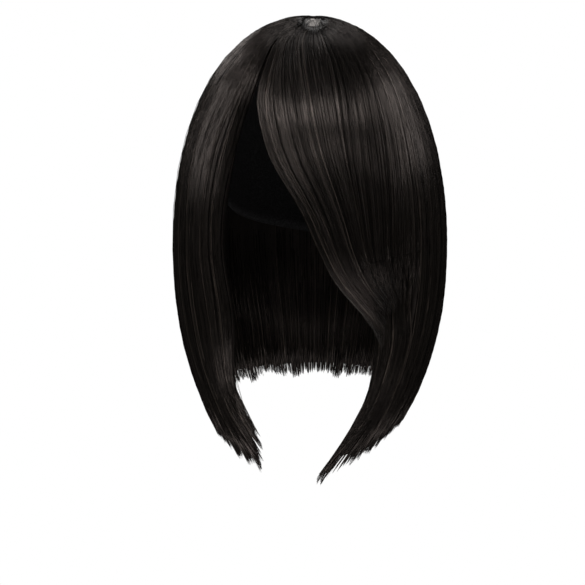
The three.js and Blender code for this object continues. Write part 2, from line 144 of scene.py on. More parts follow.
def way_in(points):
    """The direction into the hollow at points of the hair, and the room there above the cap."""
    arm = points.copy()
    arm[..., 2] -= np.minimum(-HOLLOW_MIDDLE, points[..., 2])
    ahead = np.where(points[..., 1] < 0, SEAT["front"]["reach"], SEAT["back"]["reach"])
    rise = arm[..., 2] / (HOLLOW_MIDDLE - SEAT["top"])
    size = (arm[..., 0] / SEAT["left"]["reach"]) ** 2 + (arm[..., 1] / ahead) ** 2 + rise**2
    bearing = np.degrees(np.arctan2(points[..., 0], -points[..., 1]))
    level = reach_at(SEAT, bearing, -points[..., 2]) / np.hypot(points[..., 0], points[..., 1])
    share = np.where(points[..., 2] > -HOLLOW_MIDDLE, 1 / np.sqrt(size), level)
    length = np.linalg.norm(arm, axis=-1)
    room = np.where(points[..., 2] > -SEAT["foot"], length * (1 - share), FREE_ROOM)
    return -arm / length[..., None], room


WIDEST = BOB_SIDE["widest"]
DOME_HEIGHT = WIDEST - BOB["top"]
DOME_TRAVEL = math.pi / 2 * BOB_SIDE["reach"]
FULLNESS = BOB_SIDE["fullness"]


def travel_to(depth):
    """How far a comb has run down the hair when it reaches a depth."""
    above = np.clip((WIDEST - depth) / DOME_HEIGHT, 0, 1)
    on_dome = np.arccos(above ** (FULLNESS / 2)) * BOB_SIDE["reach"]
    return np.where(depth < WIDEST, on_dome, DOME_TRAVEL + depth - WIDEST)


def depth_after(travel):
    """The depth that the comb has reached after a run."""
    angle = np.clip(travel / BOB_SIDE["reach"], 0, math.pi / 2)
    on_dome = WIDEST - DOME_HEIGHT * np.cos(angle) ** (2 / FULLNESS)
    return np.where(travel < DOME_TRAVEL, on_dome, WIDEST + travel - DOME_TRAVEL)


def smooth(value, low, high):
    """From 0 to 1 between two values, with no corner at either."""
    t = np.clip((value - low) / (high - low), 0, 1)
    return t * t * (3 - 2 * t)


def mix(a, b, t):
    return a + (b - a) * t


print("run of the comb from the crown to the widest level, mm:", round(DOME_TRAVEL))

# %% [markdown]
# ## The guide locks
# A hairdresser cuts to guide locks, and the hair between two of them follows both. Each row below
# is one guide: the side of the parting where it is rooted, its bearing at each level on the way
# down, the bearing of its tip, and its cut length as a share. The fringe starts just right of the
# parting and is swept across to the left. Curves drawn by hand would do as well, but numbers in a
# table are easier to trim by a few millimetres.

# %% Guide tables
LEVELS = {
    "crown": 17, "hairline": 53, "brow": 95, "cheek": 155, "mouth": 187, "jaw": 215, "collar": 268,
}
LONG = ("root", "crown", "hairline", "brow", "cheek", "jaw", "collar", "tip", "hem")
SHORT = ("root", "crown", "hairline", "brow", "cheek", "mouth", "tip", "hem")
RIGHT_BACK = (-165, -125, -125, -125, -125, -125, -125, -125, 0.1)
RIGHT_FRONT = (-40, -44, -51, -56, -57, -54, -49, -35, 0.9)
LEFT_FRONT = (60, 48, 52, 52, 54, 53, 48, 34, 0.72)
LEFT_BACK = (165, 125, 125, 125, 125, 125, 125, 125, 0.1)
GUIDES = {
    "side_right": (
        RIGHT_BACK,
        (-140, -90, -92, -94, -95, -94, -91, -82, 0.54),
        (-90, -66, -70, -74, -76, -74, -69, -56, 0.76),
        RIGHT_FRONT,
    ),
    "face_lock_right": (
        RIGHT_FRONT,
        (-24, -32, -37, -44, -47, -43, -41, -20, 0.97),
        (-13, -22.6, -25, -33, -38.5, -33.5, -37, -23, 0.62),
    ),
    "fringe": (
        (-12, -21.2, -22.8, -15.6, 4, 12.5, 35, 1),
        (-4, -8, -3.3, 2, 14.5, 22, 36, 0.94),
        (3, 6, 9, 12, 20.5, 27, 37.5, 0.91),
        (12, 20, 24, 24, 27, 31, 39, 0.89),
        (28, 38, 42, 42.5, 42, 42.5, 44, 0.87),
        (60, 48, 52, 52, 54, 53.5, 53, 0.85),
    ),
    "face_lock_left": (
        (60, 41, 42, 39, 37, 37, 34, 20, 0.63),
        (60, 43, 45, 43, 42, 41.5, 37, 6.5, 0.95),
        (60, 45, 48.5, 47.5, 48, 47.5, 43, 23, 0.88),
        LEFT_FRONT,
    ),
    "side_left": (
        LEFT_FRONT,
        (95, 68, 73, 75, 77, 75, 70, 57, 0.59),
        (140, 90, 92, 94, 96, 95, 92, 83, 0.4),
        LEFT_BACK,
    ),
    "back": (
        LEFT_BACK,
        (172, 152, 152, 152, 152, 153, 154, 155, 0.03),
        (180, 180, 180, 180, 180, 180, 180, 180, 0),
        (188, 208, 208, 208, 208, 207, 206, 205, 0.03),
        (195, 235, 235, 235, 235, 235, 235, 235, 0.1),
    ),
}
print("guides:", sum(len(rows) for rows in GUIDES.values()))

# %% [markdown]
# Every section also has a character of its own. The table gives the cut length at the nape and at
# the point, the thickness of the hair, how far down it rests on the cap, how many locks it falls
# into and how deep they are notched and grooved, which edge is free and how far it tucks in, how
# far down it starts where it comes out from under the fringe, how many strands it has, and how much
# their ends feather and gather.

# %% Character of each section
SECTION_COLUMNS = (
    "nape", "point", "thickness", "rests", "locks", "notch", "free_edge", "tuck", "start",
    "strands", "feather", "gather", "groove",
)
SECTION_ROWS = {
    "fringe": (0, 228, 4.6, 46, 8, 11, 0, 2, 0, 2050, 22, 0.45, 0.5),
    "face_lock_right": (257, 317, 10, 40, 4, 11, 1, 8, 0, 1450, 9, 0.55, 1.2),
    "side_right": (257, 317, 10, 85, 8, 9, None, 0, 0, 1950, 6, 0.35, 1.2),
    "back": (257, 317, 10, 120, 12, 9, None, 0, 0, 2400, 3.5, 0.15, 1.2),
    "side_left": (257, 328, 10, 85, 8, 9, None, 0, 0, 1850, 6, 0.35, 1.2),
    "face_lock_left": (257, 328, 10, 88, 4, 11, 0, 8, 5 / 9, 1150, 9, 0.55, 1.2),
}
SECTIONS = {name: dict(zip(SECTION_COLUMNS, row)) for name, row in SECTION_ROWS.items()}
for name, section in SECTIONS.items():
    columns = SHORT if name == "fringe" else LONG
    section["name"] = name
    section["levels"] = columns[1:-2]
    section["guides"] = [dict(zip(columns, row)) for row in GUIDES[name]]
print("sections:", ", ".join(SECTIONS))

# %% [markdown]
# ## From guides to a flow
# Between guides the hair runs on smooth curves. The flow of a section is worked out once on a
# small grid, across the section and down it, and every strand then reads its own line from it.
# Curves that never overshoot their guides are used, because hair that is combed straight doesn't
# wave from one guide to the next.

# %% The parting and its roots
SKIN_WIDTH, SKIN_LENGTH, SKIN_FRONT, SKIN_OFFSET = 10, 50, 38, 3.5
PARTING_FRONT = SKIN_FRONT - SKIN_WIDTH / 2
PARTING_BACK = PARTING_FRONT - (SKIN_LENGTH - SKIN_WIDTH)
PARTING_MIDDLE = (PARTING_FRONT + PARTING_BACK) / 2


def curve_through(places, values, at):
    """A smooth curve through values, level where they turn, so that it never overshoots them."""
    places, values, at = np.array(places, float), np.array(values, float), np.array(at, float)
    widths = np.diff(places)
    slopes = np.diff(values) / widths
    product, total = slopes[:-1] * slopes[1:], slopes[:-1] + slopes[1:]
    inner = np.where(product > 0, 2 * product / np.where(total == 0, 1, total), 0)
    tangents = np.concatenate([slopes[:1], inner, slopes[-1:]])
    at = np.clip(at, places[0], places[-1])
    i = np.clip(np.searchsorted(places, at, side="right") - 1, 0, len(widths) - 1)
    t = (at - places[i]) / widths[i]
    bend = t * (1 - t) * widths[i] * ((1 - t) * tangents[i] - t * tangents[i + 1])
    return mix(values[i], values[i + 1], t * t * (3 - 2 * t)) + bend


def root_beside_parting(direction, near, clear=0.8):
    """Bearing and reach of a root beside the skin top, seen from the wig's axis."""
    turn = math.radians(direction)
    low, high = 0.0, float(SKIN_LENGTH)
    for _ in range(40):
        out = (low + high) / 2
        ahead = PARTING_MIDDLE + out * math.cos(turn)
        held = min(max(ahead, PARTING_BACK), PARTING_FRONT)
        inside = math.hypot(out * math.sin(turn), ahead - held) < SKIN_WIDTH / 2 + clear
        low, high = (out, high) if inside else (low, out)
    x, ahead = SKIN_OFFSET + out * math.sin(turn), PARTING_MIDDLE + out * math.cos(turn)
    bearing = math.degrees(math.atan2(x, ahead))
    return bearing + 360 * round((near - bearing) / 360), math.hypot(x, ahead)


print("parting, mm ahead of the axis:", PARTING_BACK, "to", PARTING_FRONT)

# %% Flow of each section
ACROSS = np.linspace(0, 1, 61)
DOWN = np.linspace(0, 1, 121)


def flow_of(section):
    """Fill in a section's roots, cut lengths and bearings on the grid."""
    guides = section["guides"]
    places = [guide["cheek"] for guide in guides]
    at = mix(places[0], places[-1], ACROSS)
    value = {key: curve_through(places, [guide[key] for guide in guides], at) for key in guides[0]}
    cut = travel_to(mix(section["nape"], section["point"], value["hem"]))
    root, bearings = np.zeros(len(ACROSS)), np.zeros((len(ACROSS), len(DOWN)))
    for i in range(len(ACROSS)):
        bearing, reach = root_beside_parting(value["root"][i], value["crown"][i])
        root[i] = travel_to(depth_at_reach(BOB, bearing, reach))
        stops = [root[i], *[travel_to(LEVELS[key]) for key in section["levels"]], cut[i]]
        turns = [bearing, *[value[key][i] for key in section["levels"]], value["tip"][i]]
        bearings[i] = curve_through(stops, turns, mix(root[i], cut[i], DOWN))
    spread = math.radians(places[-1] - places[0])
    section.update(root=root, cut=cut, bearings=bearings, spread=spread)


for section in SECTIONS.values():
    flow_of(section)
# Bearings of the fringe's tips, and how far down it covers the lock under it there.
FRINGE_ENDS = (
    [guide["tip"] for guide in SECTIONS["fringe"]["guides"]],
    [SECTIONS["fringe"]["point"] * guide["hem"] + 5 for guide in SECTIONS["fringe"]["guides"]],
)
print("flow grid:", len(ACROSS), "by", len(DOWN), "for each section")

# %% [markdown]
# ## Laying hair on the flow
# One function places any point of hair: across the section, down it, and how deep it lies under
# the outer face. The hair rests on the cap as far down as the cap goes and then hangs free, its
# free edges turn in at the front opening, and the left front lock passes under the fringe. Strands
# and under-hair both ask this one function, so that neither can stray from the other.

# %% Reading the flow, and the lock at a place


def read_flow(section, across, down):
    """Bearing, run of the comb and run at the root, at places between the grid's own."""
    a = np.clip(across, 0, 1) * (len(ACROSS) - 1)
    d = np.clip(down, 0, 1) * (len(DOWN) - 1)
    i, j = np.minimum(a.astype(int), len(ACROSS) - 2), np.minimum(d.astype(int), len(DOWN) - 2)
    f, g = a - i, d - j
    b = section["bearings"]
    bearing = mix(mix(b[i, j], b[i + 1, j], f), mix(b[i, j + 1], b[i + 1, j + 1], f), g)
    root = np.interp(across, ACROSS, section["root"])
    cut = np.interp(across, ACROSS, section["cut"])
    return bearing, mix(root, cut, down), root


def lock_place(section, across):
    """Which lock a place lies in, that lock's middle, and how close its crest is, from 0 to 1."""
    count = section["locks"]
    k = np.arange(count + 1)
    edges = (k + np.where(k % count == 0, 0, 0.16 * np.sin(2.4 * k))) / count
    lock = np.clip(np.searchsorted(edges, across, side="right") - 1, 0, count - 1)
    middle = (edges[lock] + edges[lock + 1]) / 2
    part = (across - edges[lock]) / (edges[lock + 1] - edges[lock])
    crest = 1 - np.abs(2 * np.clip(part, 0, 1) - 1) ** 2.5
    return lock, middle, crest


fringe_locks = lock_place(SECTIONS["fringe"], np.array([0.1, 0.5, 0.9]))[0]
print("locks at three places across the fringe:", fringe_locks.tolist())

# %% Placing a point of hair
FREE_EDGE, EDGE_THINNED = 13, 0.55
ROOT_RUN, LOW_ROOT_RUN = 26, 12
LOW_ROOT, ROOT = 1.1, 2.6
RELEASE_RUN, PARTED_RUN = 30, 90
UNDER_FRINGE = 6.6
TIP_THICKNESS = 2


def hair_points(section, across, down, deep):
    """Points of hair, the direction that faces outwards and the thickness at each."""
    bearing, travel, root = read_flow(section, across, down)
    depth = depth_after(travel)
    reach = reach_at(BOB, bearing, depth)
    near = np.zeros_like(reach)
    if section["free_edge"] is not None:
        from_edge = np.abs(across - section["free_edge"]) * section["spread"] * reach
        near = 1 - smooth(from_edge, 0, FREE_EDGE)
    inset = section["tuck"] * near * smooth(depth, LEVELS["hairline"], LEVELS["brow"])
    if section["name"] == "face_lock_left":
        end = np.interp(bearing, *FRINGE_ENDS)
        inset = inset + UNDER_FRINGE * (1 - smooth(depth, end, end + RELEASE_RUN))
    face = points_at(bearing, reach - inset, depth)
    inwards, room = way_in(face)
    rise = smooth(travel - root, 0, ROOT_RUN) if section["start"] == 0 else 1
    release = smooth(depth, section["rests"], section["rests"] + RELEASE_RUN)
    fall = smooth(depth, LEVELS["jaw"], depth_after(np.interp(across, ACROSS, section["cut"])))
    hanging = mix(section["thickness"], TIP_THICKNESS, fall) * mix(1, EDGE_THINNED, near)
    low = section["name"] == "fringe"
    rooted = mix(LOW_ROOT, ROOT, smooth(travel - root, 0, LOW_ROOT_RUN)) if low else ROOT
    thickness = np.minimum(room, mix(mix(rooted, room, rise), hanging, release))
    crest = lock_place(section, across)[2]
    parted = smooth(depth, section["rests"], section["rests"] + PARTED_RUN)
    groove = np.minimum(section["groove"] * mix(0.15, 1, parted), 0.4 * thickness) * (1 - crest)
    under = np.where(depth < section["rests"], room - thickness, 0)
    sunk = under + np.minimum(groove + deep, np.maximum(thickness - 0.3, 0.2))
    return face + inwards * sunk[..., None], -inwards, thickness


HALF = np.array([0.5])
print("middle of the fringe, mm:", hair_points(SECTIONS["fringe"], HALF, HALF, 0)[0][0].round(1))

# %% [markdown]
# ## The strands
# Fibres gather in wisps and the wisps in locks, more so towards the ends, and none is cut exactly
# as long as its neighbour. A wisp waves as one, stands out along its middle and runs out in a
# point, which breaks the sheen into streaks and makes the cut edge ragged. Blender's own hair would
# grow from a surface, but it is hard to part and cut to a line, and a part library can't keep it.
# So the strands are laid here, thousands at once, as arrays of centre lines.

# %% Wisps
FRINGE_WISPS, WISPS, FINE_WISPS = 8, 6, 22


def wisps_of(count):
    """Uneven wisps across a section, with what all the strands of a wisp have in common."""
    edges = (np.arange(count + 1) + rng.uniform(-0.35, 0.35, count + 1)) / count
    edges[[0, -1]] = 0, 1
    return {
        "edges": edges,
        "middle": (edges[1:] + edges[:-1]) / 2,
        "half": (edges[1:] - edges[:-1]) / 2,
        "deep": rng.uniform(0, 0.6, count),
        "tone": rng.normal(0, 1, count),
        "short": np.abs(rng.normal(0, 1, count)),
        "turn": rng.uniform(0, 2 * math.pi, (2, count)),
        "length": rng.uniform(80, 150, (2, count)),
    }


def wisp_at(wisps, across):
    return np.clip(np.searchsorted(wisps["edges"], across) - 1, 0, len(wisps["middle"]) - 1)


def waves(size, length, turn, run):
    """A gentle wave along the hair."""
    return size * np.sin(2 * math.pi * run / length + turn)


def rows_down(count, points):
    """Places of the points along each strand: closer near the root, where the dome bends the hair,
    and uneven, so that no two strands bend together."""
    t = np.linspace(0, 1, points) + rng.uniform(-0.4, 0.4, (count, 1)) / (points - 1)
    t[:, 0], t[:, -1] = 0, 1
    return t * (0.7 + 0.3 * t)


for section in SECTIONS.values():
    in_a_lock = FRINGE_WISPS if section["name"] == "fringe" else WISPS
    section["wisps"] = wisps_of(in_a_lock * section["locks"])
    section["fine_wisps"] = wisps_of(FINE_WISPS * section["locks"])
print("wisps:", sum(len(section["wisps"]["middle"]) for section in SECTIONS.values()))

# %% A layer of combed strands
STRAND_RADIUS = 0.22
MEAN_REACH = 95
SWAY, OWN_SWAY, SWELL, LIFT = 0.25, 0.14, 0.1, 0.18
LATE_SHARE, LATE_SUNK, LATE_RUN = 0.3, 0.8, 40
GATHER_RUN = 55
# Place and width across the fringe of a painted highlight, a line of lighter strands.
HIGHLIGHT_LINE_AT, HIGHLIGHT_LINE_WIDTH = 0.052, 0.008


def combed(section, count, points, shallow, deepest, starts=(0, 0), stray=0.0, tone=0.42):
    """Centre lines, outward directions, radii and tones of a layer of strands."""
    wisps, fine = section["wisps"], section["fine_wisps"]
    across = (np.arange(count) + rng.uniform(0, 1, count)) / count
    lock, middle, crest = lock_place(section, across)
    wisp, thin = wisp_at(wisps, across), wisp_at(fine, across)
    aside = np.abs(across - wisps["middle"][wisp]) / wisps["half"][wisp]

    # Where each strand starts and ends.
    start = np.maximum(0.45 * section["start"], rng.uniform(*starts, count))
    late = rng.uniform(0, 1, count) < (1 if starts[1] > 0 else LATE_SHARE)
    start = np.where(late, start + rng.uniform(0.02, 0.2, count), start)
    span = np.interp(across, ACROSS, section["cut"] - section["root"])
    feather = section["feather"] * (mix(0.4, 1.7, across) if section["name"] == "fringe" else 1)
    evened = 0.45 if section["free_edge"] is None else 1
    uneven = evened * (5 * np.sin(1.9 * lock + 0.6) * crest - 0.5 * section["notch"] * (1 - crest))
    short = np.abs(rng.normal(0, 0.45, count)) + 0.45 * wisps["short"][wisp] + 0.6 * aside
    short = short * feather
    end = 1 + (uneven - short + 1 + 0.5 * section["feather"]) / span

    # How it sways to the side and gathers towards its end.
    t = rows_down(count, points)
    down = mix(start[:, None], end[:, None], t)
    run = down * span[:, None]
    to_end = (1 - down) * span[:, None]
    breadth = section["spread"] * MEAN_REACH
    length, turn = wisps["length"][:, wisp, None], wisps["turn"][:, wisp, None]
    sway = waves(SWAY, length[0], turn[0], run)
    own = waves(OWN_SWAY, rng.uniform(50, 120, (count, 1)), rng.uniform(0, 6.3, (count, 1)), run)
    place = across[:, None] + (sway + own) / breadth
    gather = section["gather"] * mix(0.15, 1, smooth(-to_end, -GATHER_RUN, 0))
    place = mix(place, wisps["middle"][wisp][:, None], gather)
    place = mix(place, middle[:, None], 0.14 * crest[:, None] * smooth(-to_end, -50, 0))
    place = np.clip(place, 0.002, 0.998)

    # How deep it lies, with a few stray hairs that stand proud.
    swell = waves(SWELL, length[1], turn[1], run)
    lift = waves(LIFT, 0.55 * fine["length"][1, thin, None], fine["turn"][1, thin, None], run)
    from_start = run - start[:, None] * span[:, None]
    under = np.where(late, LATE_SUNK, 0)[:, None] * (1 - smooth(from_start, 0, LATE_RUN))
    proud = np.where(rng.uniform(0, 1, count) < stray, rng.uniform(0.5, 1.6, count), 0)[:, None]
    proud = proud * np.sin(math.pi * t ** rng.uniform(0.6, 2.5, (count, 1))) ** 4
    deep = rng.uniform(shallow, deepest, count) + 0.5 * aside**2
    deep = deep + 0.3 * wisps["deep"][wisp] + 0.4 * fine["deep"][thin]
    deep = np.maximum(deep[:, None] + swell + lift, 0) + under - proud
    centres, outward, _ = hair_points(section, place, down, deep)

    # How thick and how light it is. The fringe has a painted highlight line near its lower edge.
    taper = 5 + 1.5 * section["feather"]
    width = mix(0.75, 1, smooth(t, 0, 0.2)) * mix(0.3, 1, smooth(to_end - to_end[:, -1:], 0, taper))
    radii = STRAND_RADIUS * width * rng.uniform(0.75, 1.25, (count, 1))
    # Strands towards a wisp's sides, which lie deeper, are made darker: painted shade between
    # wisps.
    tones = tone + rng.normal(0, 0.12, count) + 0.35 * (0.4 - aside**2)
    tones = tones + 0.05 * wisps["tone"][wisp] + 0.18 * fine["tone"][thin]
    if section["name"] == "fringe":
        # Painted highlight: a thin line of strands near the fringe's edge is made lighter.
        painted_highlight = np.exp(-(((across - HIGHLIGHT_LINE_AT) / HIGHLIGHT_LINE_WIDTH) ** 2))
        # Painted shade: the strands at the fringe's very edge are made darker.
        tones = tones + 0.7 * painted_highlight - 0.1 * (across < 0.04)
    return centres, outward, radii, np.clip(tones[:, None] + 0.05 * (t - 0.5), 0, 1)


print("thickness of a strand, mm:", 2 * STRAND_RADIUS)

# %% [markdown]
# ## Hairs on the parting
# On a real skin top single hairs are knotted through the film, and they lie over the roots of the
# hair on both sides. Without them the parting would be a bare slot. Behind the front end they
# cross it and close it, and at the front they fan out over the fringe and leave the film in sight.

# %% Hairs planted on the skin top
FILM_SHOWS = 14


def planted(count, back, front, sideways, forwards, rising, radius=0.17, crossing=False):
    """Hairs knotted on a stretch of the skin top, with their courses at its back and its front."""
    along = rng.uniform(0, 1, (count, 1))
    ahead = mix(back, front, along)
    aside = rng.uniform(-0.45, 0.45, (count, 1)) * SKIN_WIDTH
    side = -np.sign(aside) if crossing else np.sign(aside + rng.normal(0, 1.5, (count, 1)))
    course = np.radians(side * mix(sideways, forwards, along) + rng.normal(0, 7, (count, 1)))
    t = rows_down(count, 8)
    run = t * rng.uniform(26, 48, (count, 1))
    x, y = SKIN_OFFSET + aside + run * np.sin(course), ahead + run * np.cos(course)
    bearing, reach = np.degrees(np.arctan2(x, y)), np.hypot(x, y)
    on_skin = depth_at_reach(SKIN, bearing, reach)
    on_hair = depth_at_reach(BOB, bearing, reach)
    arch = rng.uniform(0, 0.5, (count, 1)) * np.sin(math.pi * np.clip(run / 26, 0, 1))
    risen = smooth(run, -1, rising)
    depth = mix(on_skin - 0.1, on_hair + 0.6, risen) - arch * smooth(run, 0, rising)
    centres = points_at(bearing, reach, depth)
    radii = radius * mix(1, 0.3, smooth(t, 0.6, 1)) * rng.uniform(0.8, 1.2, (count, 1))
    tones = np.clip(rng.normal(0.45, 0.18, (count, 1)) + 0 * t, 0, 1)
    return centres, -way_in(centres)[0], radii, tones


print("the film shows from", FILM_SHOWS, "to", SKIN_FRONT, "mm ahead of the axis")

# %% [markdown]
# ## Strands as tubes
# Each strand becomes a fine tapered tube with three sides, the fewest that close. Thousands of
# tubes are far too many to add one by one with operators, so their rings and faces are worked out
# together and written into one mesh for each section. Its tone goes along as an attribute.

# %% Tubes


def tube_points(centres, outward, radii):
    """The rings of three points round every point of the centre lines."""
    along = np.gradient(centres, axis=1)
    along /= np.linalg.norm(along, axis=2, keepdims=True)
    out = outward - along * (outward * along).sum(axis=2, keepdims=True)
    out /= np.linalg.norm(out, axis=2, keepdims=True)
    beside = np.cross(along, out)
    rings = []
    for turn in (0, 2 * math.pi / 3, 4 * math.pi / 3):
        rings.append(centres + (math.cos(turn) * out + math.sin(turn) * beside) * radii[..., None])
    return np.stack(rings, axis=2).reshape(-1, 3) * MM


def tube_faces(count, rows, first):
    """The sides and the closed ends of the tubes, whose points are numbered from the first."""
    root = first + np.arange(count) * rows * 3
    ring = root[:, None, None] + (np.arange(rows - 1) * 3)[None, :, None]
    a, b = ring + np.arange(3), ring + np.array([1, 2, 0])
    quads = np.stack([a, b, b + 3, a + 3], axis=-1).reshape(-1, 4)
    tip = root + (rows - 1) * 3
    roots = np.stack([root + 2, root + 1, root], axis=-1)
    return quads, np.concatenate([roots, np.stack([tip, tip + 1, tip + 2], axis=-1)])


def strand_mesh(name, layers):
    """One mesh of closed three-sided tubes along the centre lines of all the layers."""
    points, quads, ends, values, first = [], [], [], [], 0
    for centres, outward, radii, tones in layers:
        points.append(tube_points(centres, outward, radii))
        sides, caps = tube_faces(*radii.shape, first)
        quads.append(sides)
        ends.append(caps)
        values.append(np.repeat(tones.ravel(), 3))
        first += 3 * radii.size
    points, quads, ends = np.concatenate(points), np.concatenate(quads), np.concatenate(ends)
    loops = np.concatenate([quads.ravel(), ends.ravel()])
    starts = np.concatenate([np.arange(len(quads)) * 4, quads.size + np.arange(len(ends)) * 3])

    mesh = bpy.data.meshes.new(name)
    mesh.vertices.add(len(points))
    mesh.vertices.foreach_set("co", points.astype(np.float32).ravel())
    mesh.loops.add(len(loops))
    mesh.loops.foreach_set("vertex_index", loops.astype(np.int32))
    mesh.polygons.add(len(starts))
    mesh.polygons.foreach_set("loop_start", starts.astype(np.int32))
    mesh.update(calc_edges=True)
    mesh.shade_smooth()
    tone = mesh.attributes.new("tone", "FLOAT", "POINT")
    tone.data.foreach_set("value", np.concatenate(values).astype(np.float32))
    piece = bpy.data.objects.new(name, mesh)
    bpy.context.collection.objects.link(piece)
    return piece


print("tubes of three sides, for example:", len(tube_faces(1, 18, 0)[0]) + 2, "faces each")

# %% [markdown]
# ## The finishes
# Near-black fibre is never plain black: each strand differs a little, from cold black to a warm
# brown, and the smooth fibre has a sheen, which is brighter on the lighter strands. One flat
# colour would look like moulded plastic. So the tone that every strand was given drives a colour
# ramp, the roughness and the strength of the sheen. The under-hair reads its own map, which runs
# down the flow, so its streaks follow the comb.

# %% Materials and colour ramps


def new_material(name):
    """A material with its nodes, its links and its shader."""
    material = bpy.data.materials.new(name)
    material.use_nodes = True
    nodes, links = material.node_tree.nodes, material.node_tree.links
    return material, nodes, links, nodes["Principled BSDF"]


def colour_ramp(nodes, stops):
    """A colour ramp node with the given places and colours."""
    ramp = nodes.new("ShaderNodeValToRGB").color_ramp
    while len(ramp.elements) < len(stops):
        ramp.elements.new(0.5)
    for element, (place, colour) in zip(ramp.elements, stops):
        element.position = place
        element.color = (*colour, 1)
    return nodes[-1]


SHEEN_TINT = (1, 0.84, 0.77, 1)
print("tint of the sheen:", SHEEN_TINT[:3])

# %% Finish of the strands
HAIR_TONES = (
    (0.0, (0.0025, 0.0022, 0.002)),
    (0.5, (0.0058, 0.005, 0.0044)),
    (0.8, (0.0125, 0.0103, 0.0088)),
    (1.0, (0.045, 0.036, 0.03)),
)


def ranged(nodes, links, source, low, high):
    """The value of a socket, spread from 0..1 over low..high."""
    spread = nodes.new("ShaderNodeMapRange")
    spread.inputs["To Min"].default_value = low
    spread.inputs["To Max"].default_value = high
    links.new(source, spread.inputs["Value"])
    return spread.outputs["Result"]


def strand_finish():
    material, nodes, links, shader = new_material("hair strands")
    tone = nodes.new("ShaderNodeAttribute")
    tone.attribute_name = "tone"
    ramp = colour_ramp(nodes, HAIR_TONES)
    links.new(tone.outputs["Fac"], ramp.inputs["Fac"])
    links.new(ramp.outputs["Color"], shader.inputs["Base Color"])
    rough = ranged(nodes, links, tone.outputs["Fac"], 0.25, 0.17)
    links.new(rough, shader.inputs["Roughness"])
    sheen = ranged(nodes, links, tone.outputs["Fac"], 0.1, 0.85)
    links.new(sheen, shader.inputs["Specular IOR Level"])
    shader.inputs["Specular Tint"].default_value = SHEEN_TINT
    return material


strands_material = strand_finish()
print("finish:", strands_material.name, "with", len(HAIR_TONES), "tones")

# %% Finish of the under-hair


def under_hair_finish():
    material, nodes, links, shader = new_material("under-hair")
    flow = nodes.new("ShaderNodeUVMap")
    flow.uv_map = "comb"
    stretch = nodes.new("ShaderNodeMapping")
    stretch.inputs["Scale"].default_value = (260, 3, 1)
    streaks = nodes.new("ShaderNodeTexNoise")
    streaks.inputs["Scale"].default_value = 1
    streaks.inputs["Detail"].default_value = 4
    ramp = colour_ramp(nodes, ((0.3, (0.002, 0.0018, 0.0017)), (0.75, (0.008, 0.0064, 0.0055))))
    bump = nodes.new("ShaderNodeBump")
    bump.inputs["Strength"].default_value = 0.6
    bump.inputs["Distance"].default_value = 0.4 * MM
    links.new(flow.outputs["UV"], stretch.inputs["Vector"])
    links.new(stretch.outputs["Vector"], streaks.inputs["Vector"])
    links.new(streaks.outputs["Fac"], ramp.inputs["Fac"])
    links.new(ramp.outputs["Color"], shader.inputs["Base Color"])
    links.new(streaks.outputs["Fac"], bump.inputs["Height"])
    links.new(bump.outputs["Normal"], shader.inputs["Normal"])
    shader.inputs["Roughness"].default_value = 0.5
    shader.inputs["Specular IOR Level"].default_value = 0.3
    shader.inputs["Specular Tint"].default_value = SHEEN_TINT
    return material


under_material = under_hair_finish()
print("finish:", under_material.name)

# %% [markdown]
# ## The under-hair
# On a real wig the outer hair hides rows and rows of hair below it. Strands all the way through
# would be millions, so a closed wall stands for the inner ones. It has the section's own shape, a
# little thinner on both faces and a little shorter, so that the strands cover it and no daylight
# shows between them. It is drawn as two sheets of points on the flow, joined round their edges.

# %% A closed wall between two sheets


def wall_mesh(name, outer, inner, flat, material, ring=False):
    """A closed wall between two sheets of points, with a map of where each point lies."""
    columns, rows = outer.shape[:2]
    points = np.stack([outer, inner]) * MM
    o, i = np.arange(2 * columns * rows).reshape(2, columns, rows)
    if ring:
        o, i = np.concatenate([o, o[:1]]), np.concatenate([i, i[:1]])
    faces = [
        np.stack([o[:-1, :-1], o[:-1, 1:], o[1:, 1:], o[1:, :-1]], -1).reshape(-1, 4),
        np.stack([i[:-1, :-1], i[1:, :-1], i[1:, 1:], i[:-1, 1:]], -1).reshape(-1, 4),
        np.stack([i[:-1, 0], o[:-1, 0], o[1:, 0], i[1:, 0]], -1),
        np.stack([o[:-1, -1], i[:-1, -1], i[1:, -1], o[1:, -1]], -1),
    ]
    if not ring:
        faces.append(np.stack([i[0, :-1], i[0, 1:], o[0, 1:], o[0, :-1]], -1))
        faces.append(np.stack([o[-1, :-1], o[-1, 1:], i[-1, 1:], i[-1, :-1]], -1))
    mesh = bpy.data.meshes.new(name)
    mesh.from_pydata(points.reshape(-1, 3).tolist(), [], np.concatenate(faces).tolist())
    mesh.shade_smooth()
    corners = np.zeros(len(mesh.loops), dtype=np.int32)
    mesh.loops.foreach_get("vertex_index", corners)
    flat = np.concatenate([flat.reshape(-1, 2)] * 2)
    comb_map = mesh.uv_layers.new(name="comb")
    comb_map.data.foreach_set("uv", flat[corners].astype(np.float32).ravel())
    mesh.materials.append(material)
    piece = bpy.data.objects.new(name, mesh)
    bpy.context.collection.objects.link(piece)
    return piece


print("a wall is closed all round, and its map is called comb")

# %% Under-hair of each section


def dress(piece, node):
    """Let a piece ride on the wig and take the place of a CAD node."""
    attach(piece, "root")
    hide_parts(node)


WALL_SUNK, WALL_SHORT = 1.5, 4


